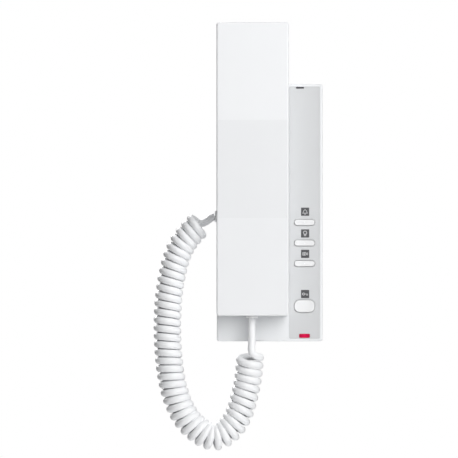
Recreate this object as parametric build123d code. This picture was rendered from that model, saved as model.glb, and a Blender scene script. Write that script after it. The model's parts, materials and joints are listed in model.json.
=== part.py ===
from build123d import *
import math
import os

# An audio intercom for a wall: a slim base with a strip of keys down its right side, and a
# handset that hangs on it by its ear cup, on a curly cord that enters the base's left side.
# Millimetres. The origin is the centre of the base's back, on the wall. +X is right, +Z is up
# and the front faces -Y. A depth is a distance from the wall: a point at depth d has Y = -d.

# Base
base_width = 74.0
base_height = 180.0
base_depth = 24.0
base_corner = 1.6
base_edge = 1.0
base_split_depth = 9.0
base_wall = 2.2
base_screw_inset_x = 6.0
base_screw_inset_z = 13.0

# Bracket that is screwed to the wall, and its hooks
bracket_side_inset = 8.0
bracket_end_inset = 22.0
bracket_thickness = 1.5
bracket_corner = 4.0
wall_hole_spacing = 83.5
wall_hole_radius = 2.25
wall_hole_sink_radius = 4.2
wall_hole_sink_depth = 0.9
cable_window_width = 26.0
cable_window_height = 20.0
cable_window_corner = 2.0
hook_inset_x = 9.0
hook_inset_z = 13.0
hook_width = 9.0
hook_thickness = 1.6
hook_lip = 2.4

# Key strip and keys
strip_width = 21.5
strip_rim = 1.9
strip_thickness = 1.2
strip_corner = 0.8
pry_notch_width = 5.6
pry_notch_height = 1.3
pry_notch_offset = 3.2
key_width = 14.2
pill_height = 4.0
pill_count = 3
pill_pitch = 14.4
first_pill_above_unlock = 58.6
unlock_height = 8.6
unlock_corner = 3.6
unlock_above_strip_end = 22.7
key_proud = 1.0
key_edge = 0.4
key_flange = 1.2
key_flange_thickness = 1.0
key_stem_radius = 2.4
key_stem_length = 2.0

# Indicator window
lens_width = 7.4
lens_height = 2.7
lens_corner = 0.6
lens_above_strip_end = 1.9
lens_proud = 0.2
lens_pipe_width = 4.0
lens_pipe_height = 1.8
lens_front_length = 4.0
led_width = 3.2
led_height = 1.6
led_thickness = 1.0

# Circuit board, what stands on it and the rubber keypad
board_thickness = 1.6
board_depth = 12.0
board_width = 24.0
board_arm_height = 26.0
board_arm_reach = 12.0
board_corner = 1.5
board_pin_radius = 1.1
board_post_radius = 2.6
board_pin_length = 2.4
keypad_thickness = 1.2
keypad_margin = 2.2
keypad_dome_radius = 3.0
chip_sizes = ((6.0, 8.0, 1.6), (9.0, 9.0, 1.4))
components_above_keypad = 12.0
component_gap = 4.0
capacitor_radius = 2.6
capacitor_length = 6.0
capacitor_pitch = 7.0
coil_block_size = (12.0, 10.0, 6.0)
terminal_ways = 6
terminal_pitch = 5.0
terminal_height = 9.0
terminal_thickness = 8.0
terminal_x = -12.0
terminal_z = -24.0
terminal_screw_radius = 1.6
terminal_wire_size = 2.6

# Call speaker of the base, behind a slotted grille
speaker_radius = 20.0
speaker_side_room = 1.3
speaker_below_top = 68.0
speaker_frame_thickness = 2.4
speaker_basket_length = 5.0
speaker_magnet_radius = 11.0
speaker_magnet_length = 4.0
speaker_gasket_thickness = 0.8
speaker_gasket_width = 3.0
speaker_cone_depth = 1.8
speaker_rib = 1.4
speaker_rib_height = 5.0
grille_slots = 7
grille_slot_width = 1.6
grille_slot_pitch = 4.4
grille_reach = 14.5

# Hook plunger and its switch
plunger_below_top = 14.0
plunger_travel = 3.0
plunger_radius = 3.0
plunger_flange_radius = 4.5
plunger_flange_thickness = 1.3
plunger_shaft_radius = 1.8
plunger_guide_wall = 1.5
spring_radius = 2.9
spring_wire = 0.6
spring_turns = 3
switch_size = (12.0, 7.0, 3.0)
switch_lever_thickness = 0.3
switch_lever_width = 2.4

# Handset
handset_width = 50.5
handset_side_overhang = 0.25
handset_overhang = 43.0
handset_end_above_base = 18.0
handset_gap = 1.0
handset_mid_thickness = 20.0
handset_end_thickness = 16.4
handset_split = 8.0
handset_corner = 2.0
handset_edge = 1.2
handset_wall = 2.0
handset_screw_spacing = 80.0
facet_count = 3

# Ear cup
cup_width = 44.0
cup_height = 40.0
cup_corner = 13.0
cup_length = 15.0
cup_draft = 1.8
cup_edge = 1.6
dish_radius = 16.0
dish_depth = 1.6
ear_hole_radius = 1.0
ear_hole_ring = 5.0
ear_rings = 2
capsule_radius = 14.5
capsule_length = 8.0
capsule_back_radius = 9.0
capsule_back_length = 3.0
capsule_gasket_thickness = 0.8
capsule_gasket_width = 3.0
capsule_rib = 1.3
capsule_rib_height = 6.0

# Mouth end
mouth_width = 26.0
mouth_height = 16.0
mouth_corner = 6.0
mouth_length = 4.0
mouth_draft = 1.9
mouth_from_end = 16.0
mouth_hole_radius = 0.9
mouth_hole_pitch = 3.4
pocket_side_room = 1.2
pocket_top_room = 3.2
pocket_depth = 5.2
mic_radius = 4.8
mic_length = 5.0
mic_boot_wall = 1.4

# Weight in the grip
weight_width = 26.0
weight_length = 46.0
weight_thickness = 5.0
weight_corner = 2.0
weight_rib = 1.2
weight_rib_height = 2.5

# Cord
wire_diameter = 4.6
wire_sides = 6
curl_radius = 7.0
curl_gap = 0.66
curl_steps = 24
handset_cord_x = -12.5
base_cord_z = -2.6
base_cord_depth = 14.0
bush_wall = 1.1
bush_collar = 1.5
bush_collar_lip = 0.7
bush_flange = 1.2
bush_flange_thickness = 1.5
gap_samples = 5000

# Screws
screw_radius = 1.4
screw_hole_radius = 1.5
screw_through_radius = 1.7
screw_head_radius = 2.7
screw_head_length = 2.0
screw_head_room = 0.3
screw_reach = 6.0
boss_radius = 3.6
screw_drive_width = 0.7
screw_drive_depth = 0.8

# Clearances
running_gap = 0.3
seat_gap = 0.1
parting_groove = 0.35
overrun = 1.0

# Places that follow from the sizes above
bracket_width = base_width - 2 * bracket_side_inset
bracket_height = base_height - 2 * bracket_end_inset
hook_x = bracket_width / 2 - hook_inset_x
hook_z = bracket_height / 2 - hook_inset_z
floor_depth = bracket_thickness + base_wall
lid_depth = base_depth - base_wall
strip_height = base_height - 2 * strip_rim
strip_x = base_width / 2 - strip_rim - strip_width / 2
strip_end_z = -base_height / 2 + strip_rim
lens_z = strip_end_z + lens_above_strip_end
unlock_z = strip_end_z + unlock_above_strip_end
first_pill_z = unlock_z + first_pill_above_unlock
keys = {f"call_button_{i + 1}": (pill_height, pill_height / 2 - seat_gap, first_pill_z - i * pill_pitch)
        for i in range(pill_count)}
keys["unlock_button"] = (unlock_height, unlock_corner, unlock_z)
keypad_top = first_pill_z + pill_height / 2 + keypad_margin
keypad_low = unlock_z - unlock_height / 2 - keypad_margin
board_right = base_width / 2 - base_wall - running_gap
board_left = board_right - board_width
board_top = base_height / 2 - base_wall - running_gap
board_front = board_depth + board_thickness
key_flange_front = lid_depth - running_gap
key_stem_back = key_flange_front - key_flange_thickness - key_stem_length
speaker_x = (-base_width / 2 + base_wall + speaker_side_room + speaker_rib + seat_gap
             + speaker_radius)
speaker_z = base_height / 2 - speaker_below_top
plunger_z = base_height / 2 - plunger_below_top
handset_x = -base_width / 2 - handset_side_overhang + handset_width / 2
board_arm_left = handset_x - board_arm_reach
handset_back = base_depth + handset_gap
handset_split_depth = handset_back + handset_split
handset_top = base_height / 2 + handset_overhang
handset_low = -base_height / 2 + handset_end_above_base
handset_length = handset_top - handset_low
handset_z = (handset_top + handset_low) / 2
facet_length = handset_length / facet_count
cup_z = base_height / 2 + running_gap + cup_height / 2
cup_tip = handset_back - cup_length
dish_floor = cup_tip + dish_depth
cup_inner_face = dish_floor + handset_wall
mouth_z = handset_low + mouth_from_end
mouth_tip = handset_back - mouth_length
pocket_floor = base_depth - pocket_depth
grip_z = (cup_z - cup_height / 2 + mouth_z) / 2
base_screws_at = [(sx * (base_width / 2 - base_screw_inset_x), sz * (base_height / 2 - base_screw_inset_z))
                  for sx in (-1, 1) for sz in (-1, 1)]
handset_screws_at = [(handset_x, grip_z + side * handset_screw_spacing / 2) for side in (-1, 1)]

# Axis of the curls from the handset's side to the base's, chosen by hand from how the cord hangs.
cord_axis_points = [
    (-14.0, -26.0, -101.0), (-15.0, -26.0, -116.0), (-18.0, -25.8, -131.0), (-23.4, -25.4, -143.6),
    (-31.0, -25.0, -152.0), (-40.2, -24.4, -154.9), (-49.4, -23.8, -152.0), (-57.2, -23.2, -143.8),
    (-63.4, -22.7, -132.0), (-68.3, -22.2, -116.5), (-71.4, -21.7, -92.0), (-71.6, -21.3, -68.0),
    (-68.9, -21.0, -44.5), (-62.6, -21.0, -25.0), (-51.5, -21.0, -10.0),
]
# Where the cord runs straight down into the first curl, and where it leaves the last one.
curls_start = (handset_cord_x, -handset_split_depth, -94.0)
curls_end = (-49.2, -base_cord_depth, -4.4)
curls_end_direction = (0.97, 0.0, 0.24)


def at_depth(depth, x=0, z=0):
    return Plane.XZ.offset(depth) * Pos(x, z)


def pad(width, height, corner, back, front, x=0, z=0):
    """A block with rounded corners between two depths."""
    return extrude(at_depth(back, x, z) * RectangleRounded(width, height, corner), front - back)


def plain_pad(width, height, back, front, x=0, z=0):
    return extrude(at_depth(back, x, z) * Rectangle(width, height), front - back)


def pin(radius, back, front, x=0, z=0):
    return extrude(at_depth(back, x, z) * Circle(radius), front - back)


def ring(outer, inner, back, front, x=0, z=0):
    return pin(outer, back, front, x, z) - pin(inner, back - overrun, front + overrun, x, z)


def drafted_pad(width, height, corner, wide, narrow, draft, x=0, z=0):
    """A block that narrows by `draft` on every side from the depth `wide` to the depth `narrow`."""
    return loft([
        at_depth(wide, x, z) * RectangleRounded(width, height, corner),
        at_depth(narrow, x, z) * RectangleRounded(width - 2 * draft, height - 2 * draft, corner - draft),
    ], ruled=True)


def screw(x, z, seat_depth, tip_depth):
    """A screw with a slotted pan head, driven from behind, whose head bears on `seat_depth`."""
    head_back = seat_depth - screw_head_length
    body = pin(screw_radius, seat_depth, tip_depth, x, z)
    body += pin(screw_head_radius, head_back, seat_depth, x, z)
    return body - plain_pad(2 * screw_head_radius + overrun, screw_drive_width, head_back - overrun,
                            head_back + screw_drive_depth, x, z)


def screw_cuts(shell_back, seat_depth, shell_front, x, z):
    """What a screw needs in the shell that it holds: a counterbore from behind and a through hole."""
    counterbore = pin(screw_head_radius + screw_head_room, shell_back - overrun, seat_depth, x, z)
    return counterbore + pin(screw_through_radius, shell_back, shell_front + overrun, x, z)


# Base

def wall_bracket():
    plate = pad(bracket_width, bracket_height, bracket_corner, 0, bracket_thickness)
    plate -= pad(cable_window_width, cable_window_height, cable_window_corner, -overrun,
                 bracket_thickness + overrun)
    for side in (-1, 1):
        z = side * wall_hole_spacing / 2
        plate -= pin(wall_hole_radius, -overrun, bracket_thickness + overrun, 0, z)
        sink = at_depth(bracket_thickness - wall_hole_sink_depth, 0, z) * Circle(wall_hole_radius)
        rim = at_depth(bracket_thickness, 0, z) * Circle(wall_hole_sink_radius)
        plate -= loft([sink, rim], ruled=True)
    stem_top = floor_depth + running_gap + hook_thickness
    for side_x in (-1, 1):
        for side_z in (-1, 1):
            x, z = side_x * hook_x, side_z * hook_z
            plate += plain_pad(hook_width, hook_thickness, bracket_thickness, stem_top, x, z)
            plate += plain_pad(hook_width, hook_thickness + hook_lip, floor_depth + running_gap, stem_top,
                               x, z + hook_lip / 2)
    return plate


def base_rear_cover():
    cover = pad(base_width, base_height, base_corner, 0, base_split_depth)
    cover = chamfer(cover.faces().sort_by(Axis.Y)[0].edges(), parting_groove)
    cover -= pad(base_width - 2 * base_wall, base_height - 2 * base_wall, base_corner - base_wall / 2,
                 floor_depth, base_split_depth + overrun)
    cover -= pad(bracket_width + 2 * running_gap, bracket_height + 2 * running_gap, bracket_corner,
                 -overrun, bracket_thickness)
    for x, z in base_screws_at:
        cover += pin(boss_radius, floor_depth, base_split_depth, x, z)
        cover -= screw_cuts(0, screw_head_length + screw_head_room, base_split_depth, x, z)
    cover -= pad(cable_window_width, cable_window_height, cable_window_corner, 0, floor_depth + overrun)
    for side_x in (-1, 1):
        for side_z in (-1, 1):
            slot_height = hook_thickness + hook_lip + 2 * running_gap
            cover -= plain_pad(hook_width + 2 * running_gap, slot_height, 0, floor_depth + overrun,
                               side_x * hook_x, side_z * hook_z - hook_lip / 2)
    for x, z in board_posts():
        cover += pin(board_post_radius, floor_depth, board_depth, x, z)
        cover += pin(board_pin_radius, board_depth, board_depth + board_pin_length, x, z)
    return cover


def board_posts():
    left = board_left + board_post_radius + running_gap
    right = board_right - board_post_radius - running_gap
    arm_x = board_arm_left + board_post_radius + running_gap
    top = board_top - board_post_radius - running_gap
    return [(left, top), (arm_x, top), (left, -board_top / 3), (right, -board_top / 3),
            (left, -board_top + board_post_radius + running_gap)]


def base_front_shell():
    """The front. Its back edge and the cover's front edge are broken and make a groove together."""
    shell = pad(base_width, base_height, base_corner, base_split_depth, base_depth)
    shell = fillet(shell.faces().sort_by(Axis.Y)[0].edges(), base_edge)
    shell = chamfer(shell.faces().sort_by(Axis.Y)[-1].edges(), parting_groove)
    shell -= pad(base_width - 2 * base_wall, base_height - 2 * base_wall, base_corner - base_wall / 2,
                 base_split_depth - overrun, lid_depth)
    for x, z in base_screws_at:
        shell += ring(boss_radius, screw_hole_radius, base_split_depth, lid_depth + seat_gap, x, z)
    shell += ring(speaker_radius + seat_gap + speaker_rib, speaker_radius + seat_gap,
                  lid_depth - speaker_rib_height, lid_depth + seat_gap, speaker_x, speaker_z)
    guide_radius = plunger_flange_radius + running_gap
    shell += ring(guide_radius + plunger_guide_wall, guide_radius,
                  board_front + switch_size[2] + switch_lever_thickness + running_gap, lid_depth + seat_gap,
                  handset_x, plunger_z)
    shell = mouth_pocket(shell)
    shell -= pad(strip_width + 2 * seat_gap, strip_height + 2 * seat_gap, strip_corner + seat_gap,
                 base_depth - strip_thickness, base_depth + overrun, strip_x, 0)
    for height, corner, z in keys.values():
        shell -= pad(key_width + 2 * running_gap, height + 2 * running_gap, corner + running_gap,
                     base_split_depth, base_depth + overrun, strip_x, z)
    shell -= pad(lens_width + 2 * seat_gap, lens_height + 2 * seat_gap, lens_corner + seat_gap,
                 base_split_depth, base_depth + overrun, strip_x, lens_z)
    shell -= pin(plunger_radius + running_gap, base_split_depth, base_depth + overrun,
                 handset_x, plunger_z)
    for cut in speaker_slots():
        shell -= cut
    bush_hole = Plane.YZ.offset(-base_width / 2 - overrun) * Pos(-base_cord_depth, base_cord_z)
    return shell - extrude(bush_hole * Circle(wire_diameter / 2 + bush_wall), base_wall + 2 * overrun)


def mouth_pocket(shell):
    """Sinks the pocket for the handset's mouth end into the front, with its own wall behind it."""
    width = mouth_width + 2 * pocket_side_room
    height = mouth_height + pocket_side_room + pocket_top_room
    z = mouth_z + (pocket_top_room - pocket_side_room) / 2
    corner = mouth_corner + pocket_side_room
    wall = base_wall
    shell += drafted_pad(width + 2 * wall, height + 2 * wall, corner + wall, lid_depth + seat_gap,
                         pocket_floor - wall, mouth_draft, handset_x, z)
    return shell - drafted_pad(width, height, corner, base_depth + seat_gap, pocket_floor, mouth_draft,
                               handset_x, z)


def speaker_slots():
    """Slots across the call speaker, each as long as the circle of the grille is wide there."""
    cuts = []
    for i in range(grille_slots):
        z = (i - (grille_slots - 1) / 2) * grille_slot_pitch
        half = math.sqrt(grille_reach ** 2 - z ** 2)
        cuts.append(extrude(at_depth(lid_depth - overrun, speaker_x, speaker_z + z)
                            * SlotOverall(2 * half, grille_slot_width), base_wall + 2 * overrun))
    return cuts


def key_strip():
    strip = pad(strip_width, strip_height, strip_corner, base_depth - strip_thickness, base_depth,
                strip_x, 0)
    for height, corner, z in keys.values():
        strip -= pad(key_width + 2 * running_gap, height + 2 * running_gap, corner + running_gap,
                     base_depth - strip_thickness - overrun, base_depth + overrun, strip_x, z)
    strip -= pad(lens_width + 2 * seat_gap, lens_height + 2 * seat_gap, lens_corner + seat_gap,
                 base_depth - strip_thickness - overrun, base_depth + overrun, strip_x, lens_z)
    notch_z = strip_height / 2 - pry_notch_height / 2
    return strip - plain_pad(pry_notch_width, pry_notch_height, base_depth - strip_thickness - overrun,
                             base_depth + overrun, strip_x - pry_notch_offset, notch_z)


def key(height, corner, z):
    """A key with a broken front edge, a flange that keeps it in, and a stem down to the keypad."""
    cap = pad(key_width, height, corner, key_flange_front, base_depth + key_proud, strip_x, z)
    cap = chamfer(cap.faces().sort_by(Axis.Y)[0].edges(), key_edge)
    cap += pad(key_width + 2 * key_flange, height + 2 * key_flange, corner + key_flange,
               key_flange_front - key_flange_thickness, key_flange_front, strip_x, z)
    return cap + pin(key_stem_radius, key_stem_back, key_flange_front - key_flange_thickness, strip_x, z)


def rubber_keypad():
    """A rubber mat on the board, with one hollow dome under each key."""
    mat_front = board_front + keypad_thickness
    mat = pad(key_width + 2 * keypad_margin, keypad_top - keypad_low, keypad_margin, board_front,
              mat_front, strip_x, (keypad_top + keypad_low) / 2)
    for height, corner, z in keys.values():
        mat += pin(keypad_dome_radius, mat_front, key_stem_back - running_gap, strip_x, z)
        mat -= pin(keypad_dome_radius / 2, board_front, mat_front + keypad_thickness, strip_x, z)
    for x, z in board_posts():
        mat -= pin(board_pin_radius + running_gap, board_front, mat_front, x, z)
    return mat


def main_board():
    """An L of circuit board: a column behind the keys, and an arm at the top to the hook switch."""
    column_width = board_right - board_left
    board = pad(column_width, 2 * board_top, board_corner, board_depth, board_front,
                (board_right + board_left) / 2, 0)
    arm_width = board_right - board_arm_left
    board += pad(arm_width, board_arm_height, board_corner, board_depth, board_front,
                 (board_right + board_arm_left) / 2, board_top - board_arm_height / 2)
    for x, z in base_screws_at:
        board -= pin(boss_radius + running_gap, board_depth - overrun, board_front + overrun, x, z)
    for x, z in board_posts():
        board -= pin(board_pin_radius + seat_gap, board_depth - overrun, board_front + overrun, x, z)
    return board - pin(plunger_shaft_radius + running_gap, board_depth - overrun,
                       board_front + overrun, handset_x, plunger_z)


def board_components():
    """Chips, a transformer and a row of capacitors on the front of the board, above the keypad."""
    x = (board_left + board_right) / 2
    pieces = []
    low = keypad_top + components_above_keypad
    for width, height, thickness in chip_sizes:
        pieces.append(plain_pad(width, height, board_front, board_front + thickness, x, low + height / 2))
        low += height + component_gap
    width, height, thickness = coil_block_size
    z = low + height / 2
    block = plain_pad(width, height, board_front, board_front + thickness, x, z)
    pieces.append(block - ring(thickness, capacitor_radius, board_front + thickness / 2,
                               board_front + thickness, x, z))
    low += height + component_gap
    for i in (-1, 1):
        can = pin(capacitor_radius, board_front, board_front + capacitor_length,
                  x + i * capacitor_pitch / 2, low + capacitor_radius)
        pieces.append(chamfer(can.faces().sort_by(Axis.Y)[0].edges(), key_edge))
    return Compound(children=pieces)


def indicator_lens():
    front = base_depth + lens_proud
    lens = pad(lens_width, lens_height, lens_corner, front - lens_front_length, front, strip_x, lens_z)
    return lens + plain_pad(lens_pipe_width, lens_pipe_height, board_front + led_thickness + running_gap,
                            front - lens_front_length, strip_x, lens_z)


def status_led():
    return plain_pad(led_width, led_height, board_front, board_front + led_thickness, strip_x, lens_z)


def terminal_block():
    width = terminal_ways * terminal_pitch
    front = floor_depth + terminal_thickness
    block = plain_pad(width, terminal_height, floor_depth, front, terminal_x, terminal_z)
    for i in range(terminal_ways):
        x = terminal_x + (i - (terminal_ways - 1) / 2) * terminal_pitch
        block -= pin(terminal_screw_radius, front - terminal_thickness / 2, front + overrun, x, terminal_z)
        block -= plain_pad(terminal_wire_size, terminal_height, floor_depth + overrun,
                           floor_depth + overrun + terminal_wire_size, x, terminal_z + terminal_height / 2)
    return block


def revolved(profile, x, z, depth):
    """Turns a profile of (radius, distance in front of `depth`) pairs round a front-to-back axis."""
    face = make_face(Polyline(*[(r, -depth - d) for r, d in profile], close=True))
    axis = Axis((0, 0, 0), (0, 1, 0))
    return Pos(x, 0, z) * revolve(face, axis)


def call_speaker():
    front = lid_depth - speaker_gasket_thickness
    basket_back = -speaker_frame_thickness - speaker_basket_length
    magnet_back = basket_back - speaker_magnet_length
    cone_radius = speaker_radius - speaker_gasket_width
    return revolved([
        (0, -speaker_cone_depth), (cone_radius / 3, -speaker_cone_depth), (cone_radius, 0),
        (speaker_radius, 0), (speaker_radius, -speaker_frame_thickness),
        (speaker_magnet_radius, basket_back), (speaker_magnet_radius, magnet_back), (0, magnet_back),
    ], speaker_x, speaker_z, front)


def speaker_gasket():
    return ring(speaker_radius, speaker_radius - speaker_gasket_width,
                lid_depth - speaker_gasket_thickness, lid_depth, speaker_x, speaker_z)


def plunger_flange_back():
    return lid_depth - running_gap - plunger_travel - plunger_flange_thickness


def hook_plunger():
    """The pin that the handset's back holds in. Its flange stops it behind the front wall."""
    flange_back = plunger_flange_back()
    tip = handset_back - running_gap
    body = pin(plunger_radius, flange_back, tip, handset_x, plunger_z)
    body = chamfer(body.faces().sort_by(Axis.Y)[0].edges(), key_edge)
    body += pin(plunger_flange_radius, flange_back, flange_back + plunger_flange_thickness,
                handset_x, plunger_z)
    return body + pin(plunger_shaft_radius, board_depth - running_gap, flange_back, handset_x, plunger_z)


def hook_spring():
    back = board_front + spring_wire / 2
    front = plunger_flange_back() - spring_wire / 2
    steps = spring_turns * curl_steps
    points = []
    for i in range(steps + 1):
        angle = 2 * math.pi * spring_turns * i / steps
        points.append(Vector(handset_x + spring_radius * math.cos(angle),
                             -back - (front - back) * i / steps,
                             plunger_z + spring_radius * math.sin(angle)))
    stations = [(points[i], heading(points, i)) for i in range(0, steps + 1, curl_steps // 2)]
    return swept_tube(biarc_path(stations), spring_wire, 4)


def hook_switch():
    """A flat switch beside the plunger, whose lever reaches under the plunger's flange."""
    width, height, thickness = switch_size
    x = handset_x + plunger_flange_radius + plunger_guide_wall + 2 * running_gap + width / 2
    top = board_front + thickness
    body = plain_pad(width, height, board_front, top, x, plunger_z)
    lever_left = handset_x + spring_radius + spring_wire
    lever_right = x + width / 2
    return body + plain_pad(lever_right - lever_left, switch_lever_width, top,
                            top + switch_lever_thickness, (lever_left + lever_right) / 2, plunger_z)


def base_screws():
    seat = screw_head_length + screw_head_room
    return Compound(children=[screw(x, z, seat, base_split_depth + screw_reach)
                              for x, z in base_screws_at])


# Cord bushes

def bush(mouth, outward, wall):
    """A rubber bush through a wall. `mouth` is the centre of its outer face, where the cord leaves."""
    plane = Plane(origin=mouth, z_dir=outward)
    neck = wire_diameter / 2 + bush_wall - seat_gap
    body = extrude(plane * Circle(neck + bush_collar_lip), -bush_collar)
    body += extrude(plane.offset(-bush_collar) * Circle(neck), -wall)
    return body + extrude(plane.offset(-bush_collar - wall) * Circle(neck + bush_flange),
                          -bush_flange_thickness)


def handset_mouth():
    return Vector(handset_cord_x, -handset_split_depth, handset_low - bush_collar)


def base_mouth():
    return Vector(-base_width / 2 - bush_collar, -base_cord_depth, base_cord_z)


# Handset

def handset_slab(inset, back, front_shift):
    """The handset's body from `back` forward, with its three flat front facets."""
    mid = handset_back + handset_mid_thickness - front_shift
    end = handset_back + handset_end_thickness - front_shift
    block = pad(handset_width - 2 * inset, handset_length - 2 * inset, handset_corner - inset / 2, back,
                handset_back + handset_mid_thickness + overrun, handset_x, handset_z)
    side = make_face(Polyline(
        (-back, handset_low), (-end, handset_low), (-mid, handset_low + facet_length),
        (-mid, handset_top - facet_length), (-end, handset_top), (-back, handset_top), close=True))
    prism = extrude(Plane.YZ.offset(handset_x) * side, handset_width, both=True)
    return block & prism


def handset_front_shell():
    shell = handset_slab(0, handset_split_depth, 0)
    front_edges = shell.edges().filter_by(lambda e: e.center().Y < -handset_split_depth - handset_wall
                                          and not on_a_facet_line(e))
    shell = fillet(front_edges.filter_by(lambda e: not is_depth_edge(e)), handset_edge)
    shell = chamfer(shell.faces().sort_by(Axis.Y)[-1].edges(), parting_groove)
    shell -= handset_slab(handset_wall, handset_split_depth - overrun, handset_wall)
    for x, z in handset_screws_at:
        shell += ring(boss_radius, screw_hole_radius, handset_split_depth,
                      handset_back + handset_mid_thickness - handset_wall + seat_gap, x, z)
    return shell - handset_bush_hole()


def on_a_facet_line(edge):
    """Whether an edge is one of the two lines between the front facets."""
    line_zs = (handset_low + facet_length, handset_top - facet_length)
    return any(abs(edge.center().Z - z) < overrun and abs(edge.center().X - handset_x) < overrun
               for z in line_zs)


def is_depth_edge(edge):
    return abs(edge.tangent_at(0.5).Y) > 0.9


def handset_bush_hole():
    plane = Plane(origin=handset_mouth(), z_dir=(0, 0, 1))
    return extrude(plane * Circle(wire_diameter / 2 + bush_wall), bush_collar + handset_wall + overrun)


def handset_rear_shell():
    shell = pad(handset_width, handset_length, handset_corner, handset_back, handset_split_depth,
                handset_x, handset_z)
    shell = fillet(shell.faces().sort_by(Axis.Y)[-1].edges(), handset_edge)
    shell = chamfer(shell.faces().sort_by(Axis.Y)[0].edges(), parting_groove)
    cup = drafted_pad(cup_width, cup_height, cup_corner, handset_back + handset_edge, cup_tip, cup_draft,
                      handset_x, cup_z)
    shell += fillet(cup.faces().sort_by(Axis.Y)[-1].edges(), cup_edge)
    shell += drafted_pad(mouth_width, mouth_height, mouth_corner, handset_back, mouth_tip,
                         mouth_draft, handset_x, mouth_z)
    shell -= pad(handset_width - 2 * handset_wall, handset_length - 2 * handset_wall,
                 handset_corner - handset_wall / 2, handset_back + handset_wall,
                 handset_split_depth + overrun, handset_x, handset_z)
    shell -= drafted_pad(cup_width - 2 * handset_wall, cup_height - 2 * handset_wall,
                         cup_corner - handset_wall, handset_back + handset_wall, cup_inner_face,
                         cup_draft / 2, handset_x, cup_z)
    shell -= revolved([(0, -overrun), (dish_radius + overrun, -overrun), (dish_radius, 0),
                       (dish_radius - 2 * dish_depth, dish_depth), (0, dish_depth)],
                      handset_x, cup_z, cup_tip)
    for x, z in ear_holes():
        shell -= pin(ear_hole_radius, cup_tip, cup_inner_face + overrun, x, z)
    shell += ring(capsule_radius + seat_gap + capsule_rib, capsule_radius + seat_gap,
                  cup_inner_face - seat_gap, cup_inner_face + capsule_rib_height, handset_x, cup_z)
    shell -= pin(mic_radius + mic_boot_wall + seat_gap, mouth_tip + handset_wall, handset_split_depth,
                 handset_x, mouth_z)
    for i in (-1, 0, 1):
        shell -= pin(mouth_hole_radius, mouth_tip - overrun, mouth_tip + handset_wall + overrun,
                     handset_x + i * mouth_hole_pitch, mouth_z)
    for x, z in handset_screws_at:
        shell += pin(boss_radius, handset_back + handset_wall, handset_split_depth, x, z)
        shell -= screw_cuts(handset_back, handset_back + screw_head_length + screw_head_room,
                            handset_split_depth, x, z)
    shell += weight_frame()
    return shell - handset_bush_hole()


def ear_holes():
    """One hole in the middle of the dish and rings of six, twelve and so on round it."""
    places = [(handset_x, cup_z)]
    for n in range(1, ear_rings + 1):
        for i in range(6 * n):
            angle = math.pi * i / (3 * n)
            places.append((handset_x + n * ear_hole_ring * math.cos(angle),
                           cup_z + n * ear_hole_ring * math.sin(angle)))
    return places


def weight_frame():
    """A low rib round the weight on the rear shell's floor."""
    floor = handset_back + handset_wall
    outer = pad(weight_width + 2 * (seat_gap + weight_rib), weight_length + 2 * (seat_gap + weight_rib),
                weight_corner + weight_rib, floor - seat_gap, floor + weight_rib_height,
                handset_x, grip_z)
    return outer - pad(weight_width + 2 * seat_gap, weight_length + 2 * seat_gap, weight_corner,
                       floor - 2 * seat_gap, floor + weight_rib_height + overrun, handset_x, grip_z)


def receiver_capsule():
    front = capsule_gasket_thickness + capsule_length
    return revolved([
        (0, capsule_gasket_thickness), (capsule_radius, capsule_gasket_thickness), (capsule_radius, front),
        (capsule_back_radius, front), (capsule_back_radius, front + capsule_back_length),
        (0, front + capsule_back_length),
    ], handset_x, cup_z, cup_inner_face)


def receiver_gasket():
    return ring(capsule_radius, capsule_radius - capsule_gasket_width, cup_inner_face,
                cup_inner_face + capsule_gasket_thickness, handset_x, cup_z)


def microphone_boot():
    back = mouth_tip + handset_wall
    boot = pin(mic_radius + mic_boot_wall, back, back + mic_boot_wall + mic_length, handset_x, mouth_z)
    boot -= pin(mic_radius, back + mic_boot_wall, back + mic_boot_wall + mic_length + overrun,
                handset_x, mouth_z)
    return boot - pin(2 * mouth_hole_radius, back - overrun, back + 2 * mic_boot_wall,
                      handset_x, mouth_z)


def microphone_capsule():
    back = mouth_tip + handset_wall + mic_boot_wall
    return pin(mic_radius, back, back + mic_length, handset_x, mouth_z)


def handset_weight():
    floor = handset_back + handset_wall
    return pad(weight_width, weight_length, weight_corner, floor, floor + weight_thickness,
               handset_x, grip_z)


def handset_screws():
    seat = handset_back + screw_head_length + screw_head_room
    return Compound(children=[screw(x, z, seat, handset_split_depth + screw_reach)
                              for x, z in handset_screws_at])


# Cord

def heading(points, i):
    """The direction of a curve of closely spaced points at its point i."""
    if i == 0:
        return (points[1] * 4 - points[0] * 3 - points[2]).normalized()
    if i == len(points) - 1:
        return (points[i] * 3 - points[i - 1] * 4 + points[i - 2]).normalized()
    return (points[i + 1] - points[i - 1]).normalized()


def biarc(start, start_heading, end, end_heading):
    """Two tangent arcs that lead from one point and direction to another."""
    chord = end - start
    a = 2 * (1 - start_heading.dot(end_heading))
    b = 2 * chord.dot(start_heading + end_heading)
    c = -chord.dot(chord)
    reach = (-b + math.sqrt(b * b - 4 * a * c)) / (2 * a)
    first_corner = start + start_heading * reach
    second_corner = end - end_heading * reach
    middle = (first_corner + second_corner) / 2
    return [Edge.make_tangent_arc(start, start_heading, middle),
            Edge.make_tangent_arc(middle, second_corner - first_corner, end)]


def biarc_path(stations):
    edges = []
    for (start, start_heading), (end, end_heading) in zip(stations, stations[1:]):
        edges += biarc(start, start_heading, end, end_heading)
    return edges


def swept_tube(edges, diameter, sides):
    """One unbroken tube along a path, with a section of `sides` sides, or a round one for 0."""
    path = Wire(edges)
    plane = Plane(origin=path.position_at(0), z_dir=path.tangent_at(0))
    section = plane * (RegularPolygon(diameter / 2, sides) if sides else Circle(diameter / 2))
    tube = sweep(section, path=path, clean=False)
    print(f"tube: length {path.length:.2f}, volume over section times length "
          f"{tube.volume / (section.area * path.length):.5f}")
    return tube


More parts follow.
